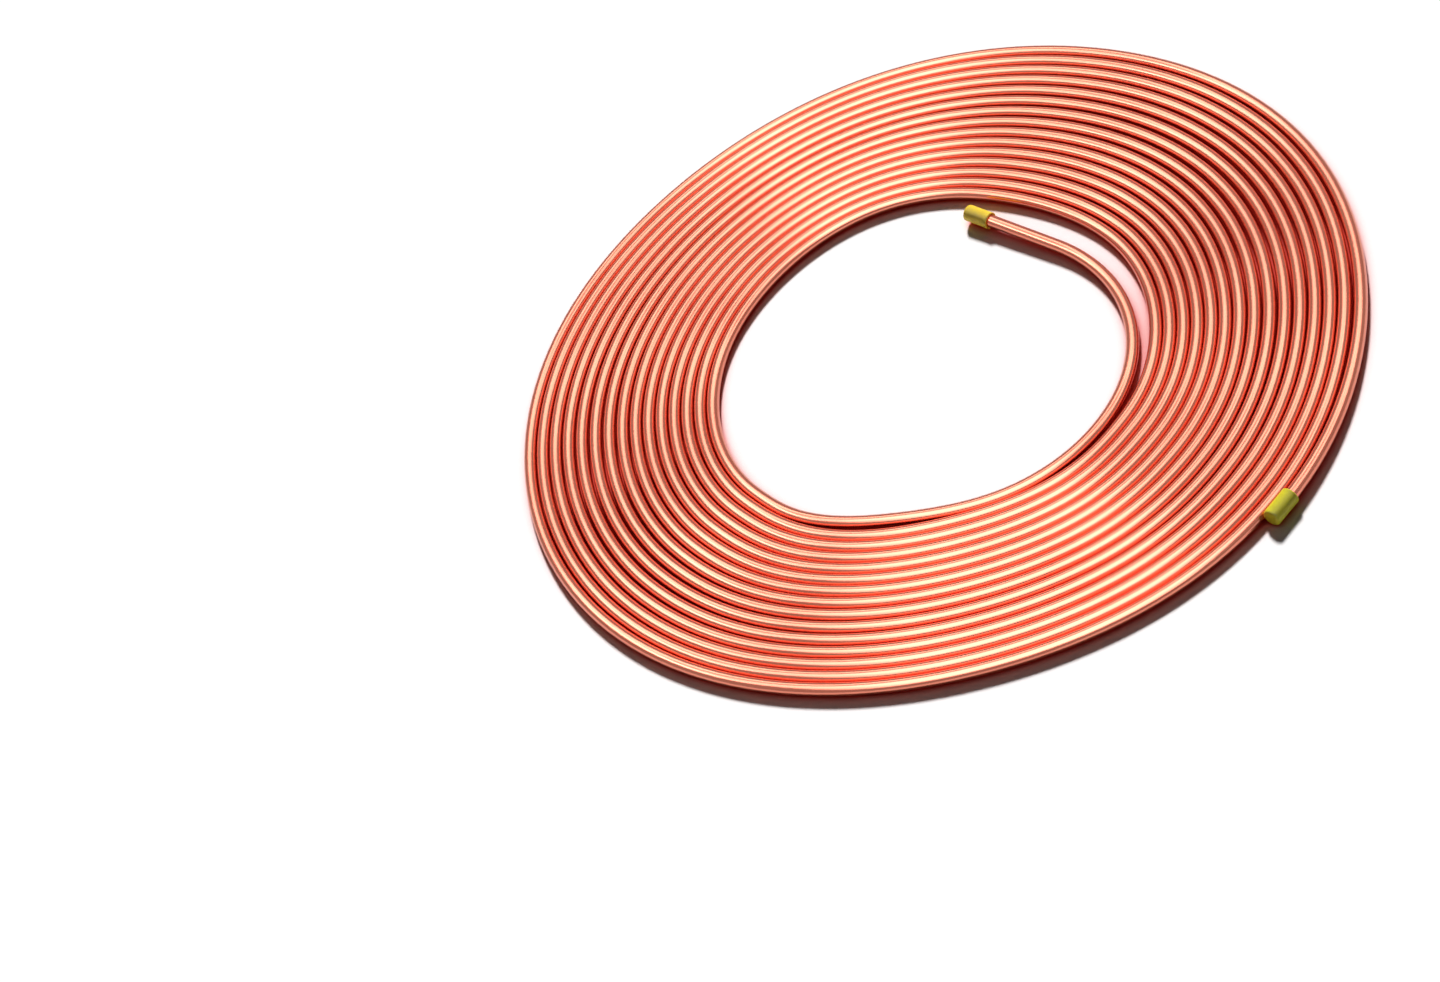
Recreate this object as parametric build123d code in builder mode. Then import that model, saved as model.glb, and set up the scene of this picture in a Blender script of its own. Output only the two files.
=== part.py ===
from build123d import *
import math
import os

# Soft copper tube wound into a flat coil of one layer, with a push-on cap on each end.
# The coil's centre is the origin, and the coil lies on the plane Z = 0.
# Seen from above the tube runs outwards clockwise. Azimuths are degrees from +X.

# Tube
tube_diameter = 6.35
tube_wall = 0.76

# Packed turns: one turned solid, with grooves between its turns on both faces, down to a core
coil_diameter = 424.0
turn_gap = 0.58
packed_turns = 14
core_thickness = 1.2
crown_relief = 0.04
section_sides = 8

# Outer end: it steps out of the packed turns, runs once round them and lifts at its cap
outer_start_azimuth = 302.0
outer_end_azimuth = -53.5
outer_step_angle = 36.0
outer_lift_angle = 48.0
outer_swing = 1.3

# Inner end: it leaves the innermost turn on a tighter bend, lifts, and ends in a straight piece
inner_start_azimuth = 280.0
inner_bend_inset = 23.1
inner_bend_angle = 117.0
inner_straight = 55.0

# The straight tips are truly round, and lie this far inside the flats of the sided bends
tip_relief = 0.02

# Caps
cap_wall = 1.05
cap_length = 15.0
cap_end_wall = 1.6
cap_clearance = 0.1
cap_bevel = 1.2
floor_clearance = 0.1

# Derived sizes
tube_radius = tube_diameter / 2
bore_radius = tube_radius - tube_wall
half_flat = tube_radius * math.tan(math.pi / section_sides)
pitch = tube_diameter + turn_gap
outer_radius = coil_diameter / 2 - tube_radius
last_packed_radius = outer_radius - pitch
first_packed_radius = last_packed_radius - (packed_turns - 1) * pitch
cap_bore_radius = tube_radius + cap_clearance
cap_radius = cap_bore_radius + cap_wall
cap_depth = cap_length - cap_end_wall
end_lift = cap_radius - tube_radius + floor_clearance
up = Vector(0, 0, 1)


def on_turn(radius, azimuth):
    """The point of a turn's centre line at an azimuth."""
    angle = math.radians(azimuth)
    return Vector(radius * math.cos(angle), radius * math.sin(angle), tube_radius)


def arc_from(start, along, radius, angle, lift=0.0):
    """An arc that leaves start along a direction and ends higher by lift.

    Its plane leans about that direction, so the tube keeps a smooth line as it rises.
    """
    lean = math.degrees(math.asin(lift / (radius * (1 - math.cos(math.radians(angle))))))
    upright = up.rotate(Axis((0, 0, 0), along), math.copysign(lean, angle))
    with BuildLine(Plane(origin=start, x_dir=along, z_dir=upright)) as bend:
        JernArc((0, 0), (1, 0), radius, angle)
    return bend.line.edge()


def straight_from(edge, length):
    """A straight run on from the end of an edge."""
    return Edge.make_line(edge @ 1, edge @ 1 + (edge % 1) * length)


def across(point, along):
    """The plane across the tube at a point, with its Y up."""
    return Plane(origin=point, x_dir=up.cross(along), z_dir=along)


# The outer end's centre line, clockwise. Two arcs that mirror each other step out by one pitch.
step_half = outer_step_angle / 2
step_shift = pitch / (2 * (1 - math.cos(math.radians(step_half))))
outer_turn_angle = outer_start_azimuth - outer_end_azimuth - outer_step_angle - outer_lift_angle
lift_radius = outer_radius + outer_swing / (1 - math.cos(math.radians(outer_lift_angle)))
clockwise = Vector(1, 0, 0).rotate(Axis.Z, outer_start_azimuth - 90)
outer_start = on_turn(last_packed_radius, outer_start_azimuth)
step_away = arc_from(outer_start, clockwise, last_packed_radius + step_shift, -step_half)
step_in = arc_from(step_away @ 1, step_away % 1, outer_radius - step_shift, -step_half)
last_turn = arc_from(step_in @ 1, step_in % 1, outer_radius, -outer_turn_angle)
outer_bend = arc_from(last_turn @ 1, last_turn % 1, lift_radius, -outer_lift_angle, end_lift)
outer_tip = straight_from(outer_bend, cap_depth)

# The inner end's centre line, anticlockwise. It stays level until it is clear of its turn.
inner_bend_radius = first_packed_radius - inner_bend_inset
inner_level_angle = math.degrees(math.acos(1 - pitch / inner_bend_inset))
inner_lift_angle = inner_bend_angle - inner_level_angle
anticlockwise = Vector(1, 0, 0).rotate(Axis.Z, inner_start_azimuth + 90)
inner_start = on_turn(first_packed_radius, inner_start_azimuth)
inner_turn = arc_from(inner_start, anticlockwise, inner_bend_radius, inner_level_angle)
inner_bend = arc_from(inner_turn @ 1, inner_turn % 1, inner_bend_radius, inner_lift_angle, end_lift)
inner_tip = straight_from(inner_bend, inner_straight)


def packed_profile():
    """The upper edge of the packed turns' section, as distances from the axis and above the middle.

    Each turn has a crown with a sloping side towards each groove.
    """
    edge = [(first_packed_radius - tube_radius, half_flat)]
    for turn in range(packed_turns):
        turn_radius = first_packed_radius + turn * pitch
        edge.append((turn_radius, tube_radius - crown_relief))
        edge.append((turn_radius + pitch / 2, core_thickness / 2))
    edge[-1] = (last_packed_radius + tube_radius, half_flat)
    return edge


with BuildPart() as tube_coil:
    with BuildSketch(Plane.XZ):
        with BuildLine():
            top_edge = [(x, tube_radius + z) for x, z in packed_profile()]
            bottom_edge = [(x, tube_radius - z) for x, z in reversed(packed_profile())]
            Polyline(*top_edge, *bottom_edge, close=True)
        make_face()
    revolve(axis=Axis.Z)

    # The loose turn and the bends, with few sides
    for bends in ([step_away, step_in, last_turn], [outer_bend], [inner_turn], [inner_bend]):
        with BuildSketch(across(bends[0] @ 0, bends[0] % 0)):
            RegularPolygon(tube_radius, section_sides, major_radius=False, rotation=180 / section_sides)
        sweep(path=Wire(bends))

    # The straight tips, round and open
    for tip in (outer_tip, inner_tip):
        with BuildSketch(across(tip @ 0, tip % 0)):
            Circle(tube_radius - tip_relief)
            Circle(bore_radius, mode=Mode.SUBTRACT)
        sweep(path=tip)


def make_cap(tip):
    """A soft plastic cap, pushed on until its closed end meets the tube's end."""
    along = tip % 1
    side = up.cross(along)
    with BuildPart() as cap:
        with BuildSketch(Plane(origin=tip @ 1, x_dir=side, z_dir=side.cross(along))):
            with BuildLine():
                Polyline(
                    (0, 0),
                    (cap_bore_radius, 0),
                    (cap_bore_radius, -cap_depth),
                    (cap_radius, -cap_depth),
                    (cap_radius, cap_end_wall - cap_bevel),
                    (cap_radius - cap_bevel, cap_end_wall),
                    (0, cap_end_wall),
                    close=True,
                )
            make_face()
        revolve(axis=Axis(tip @ 1, along))
    return cap.part


inner_cap = make_cap(inner_tip)
outer_cap = make_cap(outer_tip)

tube_coil.part.label = "tube_coil"
inner_cap.label = "inner_cap"
outer_cap.label = "outer_cap"

os.makedirs("parts", exist_ok=True)
export_step(tube_coil.part, "parts/tube_coil.step")
export_step(inner_cap, "parts/inner_cap.step")
export_step(outer_cap, "parts/outer_cap.step")
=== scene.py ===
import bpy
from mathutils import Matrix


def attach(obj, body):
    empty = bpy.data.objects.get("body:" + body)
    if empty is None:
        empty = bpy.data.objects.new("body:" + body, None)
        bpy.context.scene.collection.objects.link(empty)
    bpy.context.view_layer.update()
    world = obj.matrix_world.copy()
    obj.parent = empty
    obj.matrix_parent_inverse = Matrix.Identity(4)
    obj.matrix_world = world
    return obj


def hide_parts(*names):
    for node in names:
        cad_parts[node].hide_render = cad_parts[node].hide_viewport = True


bl_info = {
    "name": "Copper Tube Coil",
    "version": (1, 0, 0),
    "blender": (4, 5, 0),
    "location": "3D View > Sidebar > Tube Coil",
    "description": "Winds soft copper tube into a flat coil and pushes a plastic cap on each end",
    "category": "Object",
}

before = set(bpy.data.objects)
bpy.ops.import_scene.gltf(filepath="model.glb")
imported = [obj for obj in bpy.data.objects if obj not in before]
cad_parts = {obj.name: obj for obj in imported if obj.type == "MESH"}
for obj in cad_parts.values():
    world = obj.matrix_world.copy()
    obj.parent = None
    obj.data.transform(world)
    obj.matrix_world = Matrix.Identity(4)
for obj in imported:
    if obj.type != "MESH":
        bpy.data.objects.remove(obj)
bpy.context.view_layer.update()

import math

import bmesh
import bpy
from bpy.props import FloatProperty, FloatVectorProperty, IntProperty, PointerProperty
from mathutils import Euler, Matrix, Vector

MM = 0.001

# How far the wound turns stand out of round, as cosine waves round the coil:
# waves per turn, size in millimetres, azimuth of a crest in degrees.
RIM_WAVES = ((1, 2.2, 224), (2, 2.3, 44), (3, 1.9, 64), (4, 0.8, 26), (5, 0.8, 9))

# How the space between neighbouring turns changes round the coil, in the same terms.
SPACING_WAVES = ((1, 0.33, 54), (2, 0.25, 48), (3, 0.17, 38))

# How the winding drifts from even turns between the rim and the bore, as sine waves over
# DRIFT_TURNS: half waves, and size in turns.
DRIFT_WAVES = ((1, 0.10), (2, -0.06), (3, -0.03), (5, 0.01))
DRIFT_TURNS = 15.0

# The turns lie closer together over the near side, so that the loose inner end clears them.
# NEAR_START is the cosine of the angle from the middle of that side at which this starts.
NEAR_AZIMUTH = math.radians(258)
NEAR_START = 0.65
NEAR_CLOSING = 0.3 * MM

# The turns inside the outer tip stand back to leave it room. TIP_ROOM_START is the cosine of the
# angle from the tip at which this starts. The rest is in turns from the tip's end: over which
# turns the room grows, and from where to where it fades again.
TIP_ROOM = 1.2 * MM
TIP_ROOM_START = 0.5
TIP_ROOM_GROWS = (0.5, 0.85)
TIP_ROOM_FULL, TIP_ROOM_GONE = 1.0, 14.0

# The outer end: over its last part of a turn it draws in under its cap, and lifts with the
# square of the turns that are left.
OUTER_END_TURNS = 0.15
OUTER_DRAW_IN = 0.96 * MM
OUTER_LIFT = 63.8 * MM

# The inner end, in turns from the outer tip's end: over which it leaves the winding for its bend,
# where it begins to rise, and where its straight tip begins. It rises with the square of the
# turns since, less a part that goes with their cube.
INNER_LEAVES = (14.76, 14.97)
INNER_RISE_START = 15.04
INNER_STRAIGHT_START = 15.223
INNER_RISE = 54.6 * MM
INNER_RISE_EASING = 92.7 * MM

# The tips of the tube, as the solids have them: the end of each straight tip and its direction.
INNER_TIP_END = Vector((41.77, 74.55, 5.50)) * MM
INNER_TIP_ALONG = Vector((-0.6016, 0.7985, 0.0196)).normalized()
OUTER_TIP_END = Vector((111.88, -178.62, 4.60)) * MM
OUTER_TIP_ALONG = Vector((-0.8037, -0.5948, 0.0132)).normalized()

# The caps' section: the radius of the closed end's rounded edge and its steps, how far the end's
# middle lies below its rim, how much thinner the wall is than the lip, and at which shares of
# the depth the wall has its rings.
CAP_EDGE = 1.2 * MM
CAP_EDGE_STEPS = 6
CAP_DIMPLE = 0.08 * MM
CAP_WALL_INSET = 0.12 * MM
CAP_WALL_SHARES = (0.35, 0.85)

# The caps' lip, from the wall round to the bore, in millimetres: the distance out from the cap's
# radius, and then from its bore's radius, and the height above the mouth.
LIP_OUTSIDE = ((-0.09, 1.3), (-0.01, 0.9), (0.0, 0.5), (-0.05, 0.15), (-0.2, 0.0))
LIP_INSIDE = ((0.35, 0.0), (0.12, 0.12), (0.0, 0.4))

# The copper's draw lines: noise steps per metre along the tube and across it.
LINES_ALONG = 12.0
LINES_ACROSS = 900.0

# Painted shade with a painted copper-red bounce: what the floor's colour turns to where the copper
# closes over it and shuts off the light.
PAINTED_SHADE_UNDER_COPPER = (0.6, 0.05, 0.035)

# The lamps that stand in an arc round the back: their number, where the arc starts and how far
# it goes in degrees, how wide it reaches east and north of its middle, how far north that is,
# how far off the lamps are, and how brightly they glow in the middle and by how much more left.
ARC_LAMPS = 8
ARC_START, ARC_SWEEP = -15, 210
ARC_EAST, ARC_NORTH, ARC_MIDDLE = 0.68, 0.50, 0.15
ARC_DISTANCE = 2
ARC_GLOW, ARC_GLOW_LEFT = 2.4, 0.8

# How brightly the world shows in gloss, to what is matt, and to the camera.
WORLD_TO_GLOSS, WORLD_TO_MATT, WORLD_TO_CAMERA = 0.50, 0.04, 1.0

FLOOR_HALF = 6.0

# The photo's camera: its place, its turn in degrees, its lens and its sensor in millimetres.
CAMERA_PLACE = (0.0, -0.87997, 0.850575)
CAMERA_TURN = (41.737, 18.179, -11.218)
CAMERA_LENS, CAMERA_SENSOR = 62.5, 36.0


class CoilSizes(bpy.types.PropertyGroup):
    """Sizes of the wound tube."""

    tube_diameter: FloatProperty(
        name="Tube Diameter", description="Outside diameter of the tube",
        default=6.35 * MM, min=MM, unit="LENGTH", precision=5)
    rim_radius: FloatProperty(
        name="Rim Radius", description="Mean radius of the tube's line at the outer end",
        default=210.2 * MM, min=10 * MM, unit="LENGTH", precision=5)
    pitch: FloatProperty(
        name="Pitch", description="Distance between the turns' lines, before its uneven parts",
        default=7.02 * MM, min=MM, unit="LENGTH", precision=5)
    turns: FloatProperty(
        name="Turns", description="Turns of the tube from one tip to the other",
        default=15.33, min=1)
    start_azimuth: FloatProperty(
        name="Start Azimuth", description="Azimuth of the outer tip's end, seen from above",
        default=math.radians(-57.94), unit="ROTATION")
    bend_radius: FloatProperty(
        name="Bend Radius", description="Radius of the bend that leads the inner end inwards",
        default=88.7 * MM, min=10 * MM, unit="LENGTH", precision=5)
    bend_inset: FloatProperty(
        name="Bend Inset", description="Distance of that bend's centre from the coil's centre",
        default=23.1 * MM, unit="LENGTH", precision=5)
    bend_azimuth: FloatProperty(
        name="Bend Azimuth", description="Azimuth of that bend's centre, seen from above",
        default=math.radians(-80.0), unit="ROTATION")
    bend_angle: FloatProperty(
        name="Bend Angle", description="How far the inner end turns before its straight tip",
        default=math.radians(117.0), unit="ROTATION")
    steps: IntProperty(
        name="Steps per Turn", description="Lengths that a turn is divided into",
        default=160, min=24)
    sides: IntProperty(
        name="Sides", description="Faces round the tube", default=24, min=8)


class CapSizes(bpy.types.PropertyGroup):
    """Sizes of the push-on caps."""

    length: FloatProperty(
        name="Length", description="Length over all", default=15.0 * MM, unit="LENGTH", precision=5)
    radius: FloatProperty(
        name="Radius", description="Outside radius at the mouth",
        default=4.325 * MM, unit="LENGTH", precision=5)
    bore_radius: FloatProperty(
        name="Bore Radius", description="Radius of the hole that the tube fills",
        default=3.275 * MM, unit="LENGTH", precision=5)
    end_wall: FloatProperty(
        name="End Wall", description="Thickness of the closed end",
        default=1.6 * MM, unit="LENGTH", precision=5)
    sides: IntProperty(name="Sides", description="Faces round the cap", default=64, min=12)


class Finishes(bpy.types.PropertyGroup):
    """Colours of the object."""

    copper: FloatVectorProperty(
        name="Copper", description="Bright drawn copper", subtype="COLOR",
        default=(0.725, 0.235, 0.155), min=0, max=1)
    copper_deep: FloatVectorProperty(
        name="Deep Copper", description="Copper where it has begun to darken", subtype="COLOR",
        default=(0.65, 0.165, 0.105), min=0, max=1)
    inner_cap: FloatVectorProperty(
        name="Inner Cap", description="Warm yellow of the inner cap's plastic", subtype="COLOR",
        default=(0.86, 0.60, 0.04), min=0, max=1)
    # Painted shade: the outer cap is the same yellow plastic as the inner cap, made darker and
    # greener to stand in for the dimmer, colder light that falls on it
    outer_cap: FloatVectorProperty(
        name="Outer Cap", description="Greener yellow of the outer cap's plastic", subtype="COLOR",
        default=(0.58, 0.52, 0.015), min=0, max=1)
    floor: FloatVectorProperty(
        name="Floor", description="Pale floor", subtype="COLOR",
        default=(0.95, 0.95, 0.95), min=0, max=1)


class TreeMaths:
    """Adds nodes to a node tree. A call adds one step of arithmetic, and returns its result."""

    def __init__(self, tree):
        self.tree = tree

    def feed(self, node, values):
        for socket, value in zip(node.inputs, values):
            if isinstance(value, bpy.types.NodeSocket):
                self.tree.links.new(value, socket)
            else:
                socket.default_value = value

    def __call__(self, operation, *values):
        node = self.tree.nodes.new("ShaderNodeMath")
        node.operation = operation
        self.feed(node, values)
        return node.outputs[0]

    def ramp(self, value, start, end):
        """0 up to start, 1 from end on, and a smooth step between them, which may run backwards."""
        node = self.tree.nodes.new("ShaderNodeMapRange")
        node.interpolation_type = "SMOOTHSTEP"
        self.feed(node, (value, start, end))
        return node.outputs[0]

    def between(self, value, low, high):
        """low where the value is 0, and high where it is 1."""
        return self("MULTIPLY_ADD", value, high - low, low)

    def waves(self, total, angle, waves, unit):
        """total, with cosine waves of an angle on it."""
        for count, size, crest in waves:
            phase = self("MULTIPLY_ADD", angle, float(count), -count * math.radians(crest))
            total = self("MULTIPLY_ADD", self("COSINE", phase), size * unit, total)
        return total

    def noise(self, vector, scale, detail):
        node = self.tree.nodes.new("ShaderNodeTexNoise")
        node.inputs["Scale"].default_value = scale
        node.inputs["Detail"].default_value = detail
        self.tree.links.new(vector, node.inputs["Vector"])
        return node.outputs["Fac"]

    def blend(self, amount, first, second):
        """The first colour where the amount is 0, and the second where it is 1."""
        node = self.tree.nodes.new("ShaderNodeMix")
        node.data_type = "RGBA"
        node.inputs["A"].default_value = (*first, 1)
        node.inputs["B"].default_value = (*second, 1)
        self.tree.links.new(amount, node.inputs["Factor"])
        return node.outputs["Result"]

    def bump(self, height, strength, distance):
        node = self.tree.nodes.new("ShaderNodeBump")
        node.inputs["Strength"].default_value = strength
        node.inputs["Distance"].default_value = distance
        self.tree.links.new(height, node.inputs["Height"])
        return node.outputs[0]


def new_tree(name, inputs):
    """A geometry node tree, the sockets that bring in its named inputs, and those it fills."""
    tree = bpy.data.node_groups.new(name, "GeometryNodeTree")
    for label, kind in inputs:
        tree.interface.new_socket(label, in_out="INPUT", socket_type=kind)
    tree.interface.new_socket("Geometry", in_out="OUTPUT", socket_type="NodeSocketGeometry")
    return tree, tree.nodes.new("NodeGroupInput").outputs, tree.nodes.new("NodeGroupOutput").inputs


def make_piece(name, tree, values):
    """A plain mesh object from a node tree whose inputs are set by name."""
    maker = bpy.data.objects.new(name + "_maker", bpy.data.meshes.new(name + "_empty"))
    bpy.context.scene.collection.objects.link(maker)
    modifier = maker.modifiers.new(name, "NODES")
    modifier.node_group = tree
    for item in tree.interface.items_tree:
        if item.in_out == "INPUT" and item.name in values:
            modifier[item.identifier] = values[item.name]
    graph = bpy.context.evaluated_depsgraph_get()
    graph.update()
    mesh = bpy.data.meshes.new_from_object(
        maker.evaluated_get(graph), preserve_all_data_layers=True, depsgraph=graph)
    if not mesh.polygons:
        raise RuntimeError(name + " came out empty")
    maker.modifiers.remove(modifier)
    bpy.data.objects.remove(maker)
    piece = bpy.data.objects.new(name, mesh)
    mesh.name = name
    bpy.context.scene.collection.objects.link(piece)
    return piece


def wound_line(maths, given, turn, azimuth):
    """How far the spiral's line lies from the axis, and its height, after so many turns."""
    wound = turn
    for half_waves, size in DRIFT_WAVES:
        wave = maths("SINE", maths("MULTIPLY", turn, math.pi * half_waves / DRIFT_TURNS))
        wound = maths("MULTIPLY_ADD", wave, size, wound)
    rim = maths.waves(given["Rim Radius"], azimuth, RIM_WAVES, MM)
    spacing = maths.waves(given["Pitch"], azimuth, SPACING_WAVES, MM)
    from_near = maths("COSINE", maths("SUBTRACT", azimuth, NEAR_AZIMUTH))
    near = maths.ramp(from_near, NEAR_START, 1.0)
    spacing = maths("MULTIPLY_ADD", near, -NEAR_CLOSING, spacing)
    radius = maths("SUBTRACT", rim, maths("MULTIPLY", spacing, wound))

    # The turns inside the outer tip stand back
    from_tip = maths("COSINE", maths("SUBTRACT", azimuth, given["Start Azimuth"]))
    inside = maths("MULTIPLY", maths.ramp(turn, *TIP_ROOM_GROWS),
                   maths.ramp(turn, TIP_ROOM_GONE, TIP_ROOM_FULL))
    room = maths("MULTIPLY", inside, maths.ramp(from_tip, TIP_ROOM_START, 1.0))
    radius = maths("MULTIPLY_ADD", room, -TIP_ROOM, radius)

    # The outer end draws in a little under its cap, and lifts
    outer = maths("SUBTRACT", 1.0, maths.ramp(turn, 0.0, OUTER_END_TURNS))
    radius = maths("MULTIPLY_ADD", outer, -OUTER_DRAW_IN, radius)
    left = maths("MAXIMUM", maths("SUBTRACT", OUTER_END_TURNS, turn), 0.0)
    height = maths("MULTIPLY_ADD", maths("POWER", left, 2.0), OUTER_LIFT, given["Tube Radius"])
    return radius, height


def with_inner_end(maths, given, turn, azimuth, radius, height):
    """The line's radius and height with the inner end: a bend round a centre of its own, a tip."""
    from_bend = maths("SUBTRACT", azimuth, given["Bend Azimuth"])
    across = maths("MULTIPLY", maths("SINE", from_bend), given["Bend Inset"])
    reach = maths("SQRT", maths("SUBTRACT", maths("POWER", given["Bend Radius"], 2.0),
                                maths("POWER", across, 2.0)))
    bend = maths("MULTIPLY_ADD", maths("COSINE", from_bend), given["Bend Inset"], reach)
    tip_side = maths("SUBTRACT", given["Tip Azimuth"], given["Bend Azimuth"])
    tip_distance = maths("MULTIPLY_ADD", maths("COSINE", tip_side), given["Bend Inset"],
                         given["Bend Radius"])
    past_tip = maths("SUBTRACT", azimuth, given["Tip Azimuth"])
    tip = maths("DIVIDE", tip_distance, maths("COSINE", past_tip))
    past_bend = maths("GREATER_THAN", turn, INNER_STRAIGHT_START)
    tail = maths("MULTIPLY_ADD", past_bend, maths("SUBTRACT", tip, bend), bend)
    leaving = maths.ramp(turn, *INNER_LEAVES)
    radius = maths("MULTIPLY_ADD", leaving, maths("SUBTRACT", tail, radius), radius)
    rise = maths("MAXIMUM", maths("SUBTRACT", turn, INNER_RISE_START), 0.0)
    slope = maths("MULTIPLY_ADD", rise, -INNER_RISE_EASING, INNER_RISE)
    height = maths("MULTIPLY_ADD", maths("POWER", rise, 2.0), slope, height)
    return radius, height


def coil_tree():
    """The nodes of the tube, which follows a spiral with uneven turns from one tip to the other."""
    tree, given, made = new_tree("Wound Tube", (
        ("Tube Radius", "NodeSocketFloat"), ("Rim Radius", "NodeSocketFloat"),
        ("Pitch", "NodeSocketFloat"), ("Turns", "NodeSocketFloat"),
        ("Start Azimuth", "NodeSocketFloat"), ("Bend Radius", "NodeSocketFloat"),
        ("Bend Inset", "NodeSocketFloat"), ("Bend Azimuth", "NodeSocketFloat"),
        ("Tip Azimuth", "NodeSocketFloat"), ("Steps", "NodeSocketInt"),
        ("Sides", "NodeSocketInt"), ("Material", "NodeSocketMaterial")))
    new, link = tree.nodes.new, tree.links.new
    maths = TreeMaths(tree)

    line = new("GeometryNodeCurvePrimitiveLine")
    points = new("GeometryNodeResampleCurve")
    link(line.outputs[0], points.inputs["Curve"])
    link(given["Steps"], points.inputs["Count"])
    place = new("GeometryNodeSplineParameter").outputs["Factor"]
    turn = maths("MULTIPLY", place, given["Turns"])
    azimuth = maths("MULTIPLY_ADD", turn, math.tau, given["Start Azimuth"])

    radius, height = wound_line(maths, given, turn, azimuth)
    radius, height = with_inner_end(maths, given, turn, azimuth, radius, height)
    position = new("ShaderNodeCombineXYZ")
    maths.feed(position, (maths("MULTIPLY", radius, maths("COSINE", azimuth)),
                          maths("MULTIPLY", radius, maths("SINE", azimuth)), height))
    path = new("GeometryNodeSetPosition")
    link(points.outputs[0], path.inputs["Geometry"])
    link(position.outputs[0], path.inputs["Position"])
    along = new("GeometryNodeStoreNamedAttribute")
    along.data_type, along.domain = "FLOAT", "POINT"
    along.inputs["Name"].default_value = "along"
    link(path.outputs[0], along.inputs["Geometry"])
    link(new("GeometryNodeSplineParameter").outputs["Length"], along.inputs["Value"])

    # The tube's section, which keeps where each point lies round it
    section = new("GeometryNodeCurvePrimitiveCircle")
    link(given["Sides"], section.inputs["Resolution"])
    link(given["Tube Radius"], section.inputs["Radius"])
    around = new("GeometryNodeStoreNamedAttribute")
    around.data_type, around.domain = "FLOAT_VECTOR", "POINT"
    around.inputs["Name"].default_value = "around"
    link(section.outputs[0], around.inputs["Geometry"])
    link(new("GeometryNodeInputPosition").outputs[0], around.inputs["Value"])

    tube = new("GeometryNodeCurveToMesh")
    tube.inputs["Fill Caps"].default_value = True
    link(along.outputs[0], tube.inputs["Curve"])
    link(around.outputs[0], tube.inputs["Profile Curve"])
    smooth = new("GeometryNodeSetShadeSmooth")
    link(tube.outputs[0], smooth.inputs["Geometry"])
    real = new("GeometryNodeRealizeInstances")
    link(smooth.outputs[0], real.inputs[0])
    finish = new("GeometryNodeSetMaterial")
    link(real.outputs[0], finish.inputs["Geometry"])
    link(given["Material"], finish.inputs["Material"])
    link(finish.outputs[0], made["Geometry"])
    return tree


def turned_cap(name, end, along, sizes):
    """A cap turned round its axis: a rounded closed end, a wall that widens to a lip, a bore."""
    depth = sizes.length - sizes.end_wall
    wall, bore = sizes.radius - CAP_WALL_INSET, sizes.bore_radius
    profile = [(0.0, sizes.end_wall - CAP_DIMPLE)]
    for step in range(CAP_EDGE_STEPS + 1):
        turn = math.pi / 2 * (1 - step / CAP_EDGE_STEPS)
        profile.append((wall + CAP_EDGE * (math.cos(turn) - 1),
                        sizes.end_wall + CAP_EDGE * (math.sin(turn) - 1)))
    profile += [(wall, -depth * share) for share in CAP_WALL_SHARES]
    profile += [(sizes.radius + out * MM, height * MM - depth) for out, height in LIP_OUTSIDE]
    profile += [(bore + out * MM, height * MM - depth) for out, height in LIP_INSIDE]
    profile += [(bore, 0.0), (0.0, 0.0)]
    axis = Matrix.Translation(end) @ along.to_track_quat("Z", "Y").to_matrix().to_4x4()
    shape = bmesh.new()
    rings = []
    for radius, height in profile:
        if radius == 0.0:
            rings.append([shape.verts.new(axis @ Vector((0, 0, height)))])
            continue
        rings.append([shape.verts.new(axis @ Vector((
            radius * math.cos(math.tau * k / sizes.sides),
            radius * math.sin(math.tau * k / sizes.sides), height))) for k in range(sizes.sides)])
    for first, second in zip(rings, rings[1:]):
        for k in range(sizes.sides):
            corners = [first[k % len(first)], second[k % len(second)],
                       second[(k + 1) % len(second)], first[(k + 1) % len(first)]]
            shape.faces.new(list(dict.fromkeys(corners)))
    bmesh.ops.recalc_face_normals(shape, faces=shape.faces)
    mesh = bpy.data.meshes.new(name)
    shape.to_mesh(mesh)
    shape.free()
    mesh.shade_smooth()
    cap = bpy.data.objects.new(name, mesh)
    bpy.context.scene.collection.objects.link(cap)
    return cap


def new_material(name):
    """A node material, its maths helper and its shader."""
    material = bpy.data.materials.new(name)
    material.use_nodes = True
    return material, TreeMaths(material.node_tree), material.node_tree.nodes["Principled BSDF"]


def bright_copper(colours):
    """Drawn copper: polished, with faint lengthwise draw lines and slow drifts of tone."""
    material, maths, shader = new_material("Bright Copper")
    new, link = maths.tree.nodes.new, maths.tree.links.new
    along = new("ShaderNodeAttribute")
    along.attribute_name = "along"
    around = new("ShaderNodeAttribute")
    around.attribute_name = "around"
    section = new("ShaderNodeSeparateXYZ")
    link(around.outputs["Vector"], section.inputs[0])
    surface = new("ShaderNodeCombineXYZ")
    maths.feed(surface, (maths("MULTIPLY", along.outputs["Fac"], LINES_ALONG),
                         maths("MULTIPLY", section.outputs[0], LINES_ACROSS),
                         maths("MULTIPLY", section.outputs[1], LINES_ACROSS)))
    lines = maths.noise(surface.outputs[0], scale=1.0, detail=3.0)
    drift = maths.noise(new("ShaderNodeTexCoord").outputs["Object"], scale=24.0, detail=2.0)
    deep = maths("MULTIPLY_ADD", drift, 0.9, maths("MULTIPLY_ADD", lines, 0.5, -0.45))
    link(maths.blend(deep, colours.copper, colours.copper_deep), shader.inputs["Base Color"])
    link(maths.between(lines, 0.14, 0.24), shader.inputs["Roughness"])
    link(maths.bump(lines, strength=0.08, distance=0.02 * MM), shader.inputs["Normal"])
    shader.inputs["Metallic"].default_value = 1.0
    return material


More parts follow.
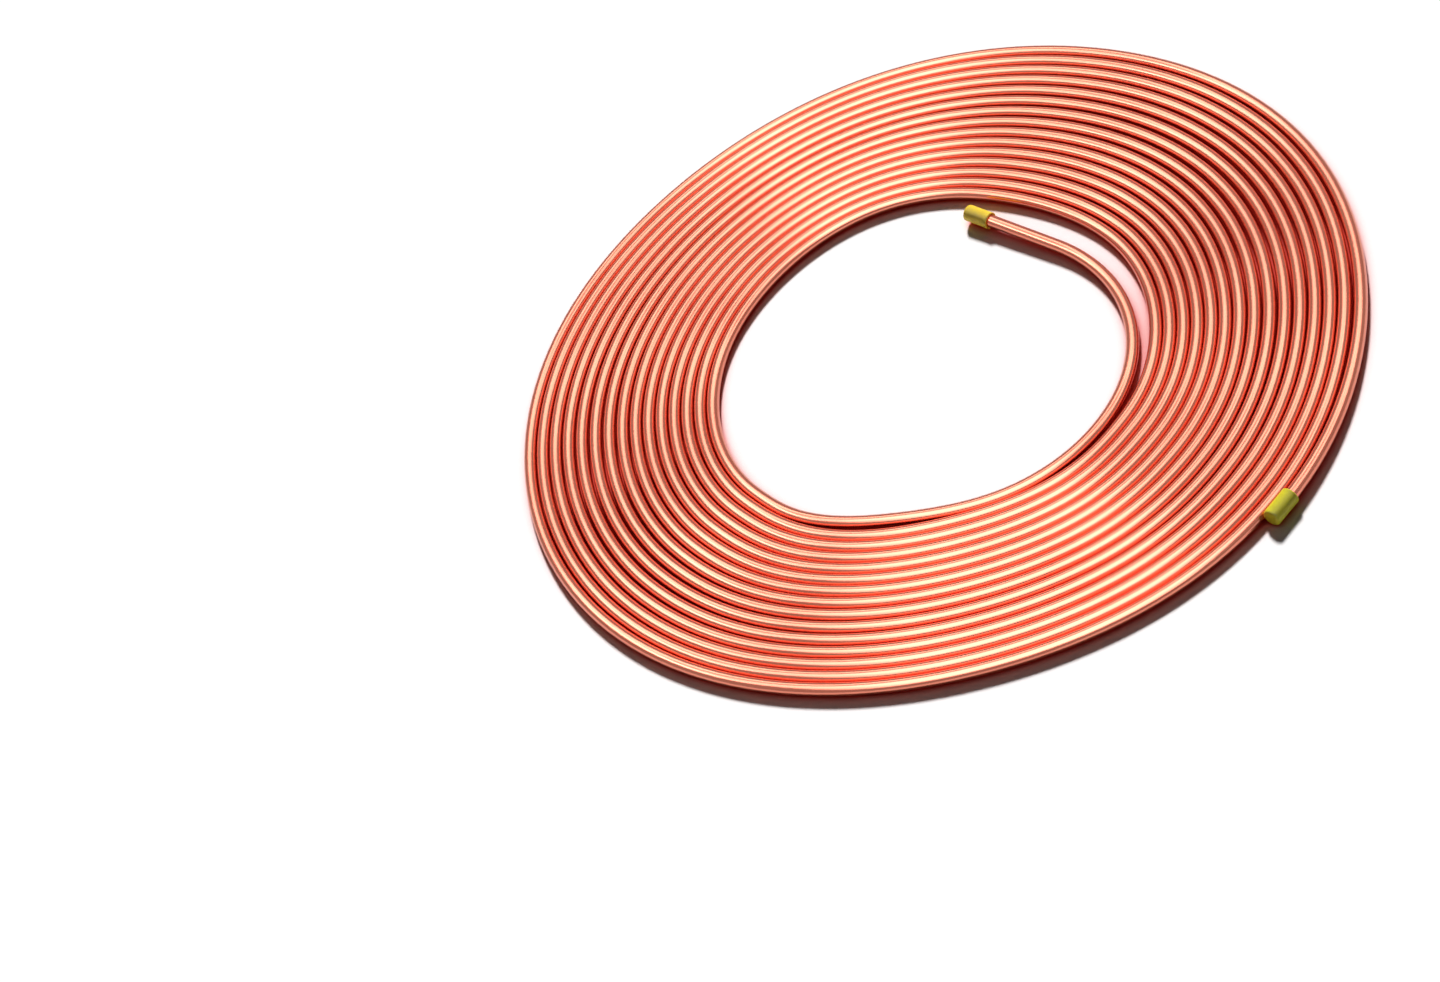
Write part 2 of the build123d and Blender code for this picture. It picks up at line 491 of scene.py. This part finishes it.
def cap_plastic(name, colour):
    """Soft yellow plastic: satin, a little cloudy, with the faint mottle of a dipped skin."""
    material, maths, shader = new_material(name)
    new, link = maths.tree.nodes.new, maths.tree.links.new
    mottle = maths.noise(new("ShaderNodeTexCoord").outputs["Object"], scale=420.0, detail=4.0)
    shaded = [0.75 * channel for channel in colour]
    link(maths.blend(mottle, shaded, colour), shader.inputs["Base Color"])
    link(maths.between(mottle, 0.35, 0.55), shader.inputs["Roughness"])
    link(maths.bump(mottle, strength=0.25, distance=0.05 * MM), shader.inputs["Normal"])
    shader.inputs["Specular IOR Level"].default_value = 0.25
    shader.inputs["Subsurface Weight"].default_value = 0.25
    shader.inputs["Subsurface Radius"].default_value = (0.004, 0.003, 0.001)
    shader.inputs["Subsurface Scale"].default_value = 0.5
    return material


def pale_floor_painted_shade(colours):
    """A matt floor with painted shade: its colour darkens to a painted copper-red bounce where the
    turns close over it.
    """
    material, maths, shader = new_material("Pale Floor Painted Shade")
    # Painted shade: the occlusion blends the floor's colour towards a dark copper red under and
    # between the turns
    open_sky = maths.tree.nodes.new("ShaderNodeAmbientOcclusion")
    open_sky.samples = 8
    open_sky.inputs["Distance"].default_value = 18 * MM
    openness = maths.ramp(open_sky.outputs["AO"], 0.2, 0.95)
    tone = maths.blend(openness, PAINTED_SHADE_UNDER_COPPER, colours.floor)
    maths.tree.links.new(tone, shader.inputs["Base Color"])
    shader.inputs["Roughness"].default_value = 0.6
    shader.inputs["Specular IOR Level"].default_value = 0.0
    return material


def soft_box(name, size, glow):
    """A rectangular studio lamp whose face glows so many times as bright as white."""
    lamp = bpy.data.lights.new(name, "AREA")
    lamp.shape, lamp.size, lamp.size_y = "RECTANGLE", size[0], size[1]
    lamp.energy = 4 * size[0] * size[1] * glow
    return lamp


def hang_lamp(lamp, place, lights):
    """Hangs a lamp at a place, turned to the middle of the stage, for gloss or what is matt."""
    holder = bpy.data.objects.new(lamp.name, lamp)
    holder.location = place
    holder.rotation_euler = (-Vector(place)).to_track_quat("-Z", "Y").to_euler()
    holder.visible_glossy = lights == "GLOSS"
    holder.visible_diffuse = lights == "MATT"
    bpy.context.scene.collection.objects.link(holder)


def lay_floor(colours):
    ground = bpy.data.meshes.new("floor")
    corners = [Vector(corner) * FLOOR_HALF
               for corner in ((-1, -1, 0), (1, -1, 0), (1, 1, 0), (-1, 1, 0))]
    ground.from_pydata(corners, [], [(0, 1, 2, 3)])
    ground.materials.append(pale_floor_painted_shade(colours))
    floor = bpy.data.objects.new("floor", ground)
    bpy.context.scene.collection.objects.link(floor)


def light_world(scene):
    """The camera sees a white world, and metal a dimmer one round the lamps. Little of it lights
    what is matt, so that the key lamp's shadow shows.
    """
    world = bpy.data.worlds.new("studio")
    world.use_nodes = True
    scene.world = world
    maths = TreeMaths(world.node_tree)
    backdrop = world.node_tree.nodes["Background"]
    backdrop.inputs["Color"].default_value = (1, 1, 1, 1)
    rays = world.node_tree.nodes.new("ShaderNodeLightPath")
    strength = maths.between(rays.outputs["Is Glossy Ray"], WORLD_TO_MATT, WORLD_TO_GLOSS)
    strength = maths("MULTIPLY_ADD", rays.outputs["Is Camera Ray"],
                     WORLD_TO_CAMERA - WORLD_TO_MATT, strength)
    world.node_tree.links.new(strength, backdrop.inputs["Strength"])


def hang_lamps():
    # What gloss shows: a broad canopy overhead with a brighter middle, and lamps from the right
    # round the back to the left, where they are brightest, so that each turn carries a bright
    # line all the way round
    canopy = soft_box("canopy", size=(2.6, 2.8), glow=2.1)
    hang_lamp(canopy, place=(0.0, -0.52, 1.93), lights="GLOSS")
    canopy_middle = soft_box("canopy_middle", size=(1.5, 1.7), glow=1.3)
    hang_lamp(canopy_middle, place=(0.0, -0.48, 1.80), lights="GLOSS")
    for lamp in range(ARC_LAMPS):
        round_arc = math.radians(ARC_START + ARC_SWEEP * lamp / (ARC_LAMPS - 1))
        east = ARC_EAST * math.cos(round_arc)
        north = ARC_MIDDLE + ARC_NORTH * math.sin(round_arc)
        place = Vector((east, north, math.sqrt(1 - east ** 2 - north ** 2))) * ARC_DISTANCE
        glow = ARC_GLOW - ARC_GLOW_LEFT * math.cos(round_arc)
        arc_lamp = soft_box("arc_lamp_%d" % lamp, size=(0.72, 0.52), glow=glow)
        hang_lamp(arc_lamp, place, lights="GLOSS")

    # What lights the floor and the caps, and throws the shadow towards the camera
    key = bpy.data.lights.new("key", "SUN")
    key.energy, key.angle = 5.3, math.radians(9)
    hang_lamp(key, place=(0.27, 1.53, 1.26), lights="MATT")


def place_camera(scene):
    lens = bpy.data.cameras.new("camera")
    lens.lens, lens.sensor_width = CAMERA_LENS, CAMERA_SENSOR
    camera = bpy.data.objects.new("camera", lens)
    camera.location = CAMERA_PLACE
    camera.rotation_euler = Euler([math.radians(angle) for angle in CAMERA_TURN])
    scene.collection.objects.link(camera)
    scene.camera = camera


class TUBECOIL_OT_wind_tube(bpy.types.Operator):
    """Winds the copper tube into its flat coil, with both of its ends"""

    bl_idname = "tubecoil.wind_tube"
    bl_label = "Wind Tube"

    def execute(self, context):
        sizes = context.scene.tube_coil
        tube = make_piece("wound_tube", coil_tree(), {
            "Tube Radius": sizes.tube_diameter / 2, "Rim Radius": sizes.rim_radius,
            "Pitch": sizes.pitch, "Turns": sizes.turns, "Start Azimuth": sizes.start_azimuth,
            "Bend Radius": sizes.bend_radius, "Bend Inset": sizes.bend_inset,
            "Bend Azimuth": sizes.bend_azimuth,
            "Tip Azimuth": sizes.bend_azimuth + sizes.bend_angle,
            "Steps": round(sizes.steps * sizes.turns), "Sides": sizes.sides,
            "Material": bright_copper(context.scene.tube_finishes)})
        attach(tube, "root")
        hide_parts("tube_coil")
        return {"FINISHED"}


class TUBECOIL_OT_make_caps(bpy.types.Operator):
    """Pushes a yellow plastic cap on each end of the tube"""

    bl_idname = "tubecoil.make_caps"
    bl_label = "Make Caps"

    def execute(self, context):
        colours = context.scene.tube_finishes
        for name, node, end, along, colour in (
                ("inner_end_cap", "inner_cap", INNER_TIP_END, INNER_TIP_ALONG, colours.inner_cap),
                # The outer cap's colour carries painted shade: a darker, greener copy of the caps'
                # one plastic
                ("outer_end_cap", "outer_cap", OUTER_TIP_END, OUTER_TIP_ALONG, colours.outer_cap)):
            cap = turned_cap(name, end, along, context.scene.tube_caps)
            cap.data.materials.append(cap_plastic(name + "_plastic", colour))
            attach(cap, "root")
            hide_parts(node)
        return {"FINISHED"}


class TUBECOIL_OT_set_stage(bpy.types.Operator):
    """Lays the pale floor and sets up the studio light and the camera"""

    bl_idname = "tubecoil.set_stage"
    bl_label = "Set Stage"

    def execute(self, context):
        scene = context.scene
        scene.view_settings.view_transform = "Standard"
        lay_floor(scene.tube_finishes)
        light_world(scene)
        hang_lamps()
        place_camera(scene)
        return {"FINISHED"}


class TUBECOIL_PT_panel(bpy.types.Panel):
    """The coil's tools and sizes in the sidebar"""

    bl_idname = "TUBECOIL_PT_panel"
    bl_label = "Tube Coil"
    bl_space_type = "VIEW_3D"
    bl_region_type = "UI"
    bl_category = "Tube Coil"

    def draw(self, context):
        for operator in OPERATORS:
            self.layout.operator(operator.bl_idname)
        for name, group in GROUPS:
            column = self.layout.column(align=True)
            for key in group.__annotations__:
                column.prop(getattr(context.scene, name), key)


GROUPS = (("tube_coil", CoilSizes), ("tube_caps", CapSizes), ("tube_finishes", Finishes))
OPERATORS = (TUBECOIL_OT_wind_tube, TUBECOIL_OT_make_caps, TUBECOIL_OT_set_stage)


def register():
    for name, group in GROUPS:
        bpy.utils.register_class(group)
        setattr(bpy.types.Scene, name, PointerProperty(type=group))
    for item in (*OPERATORS, TUBECOIL_PT_panel):
        bpy.utils.register_class(item)


def unregister():
    for item in (TUBECOIL_PT_panel, *reversed(OPERATORS)):
        bpy.utils.unregister_class(item)
    for name, group in reversed(GROUPS):
        delattr(bpy.types.Scene, name)
        bpy.utils.unregister_class(group)


def main():
    register()
    bpy.ops.tubecoil.wind_tube()
    bpy.ops.tubecoil.make_caps()
    bpy.ops.tubecoil.set_stage()


if __name__ == "__main__":
    main()
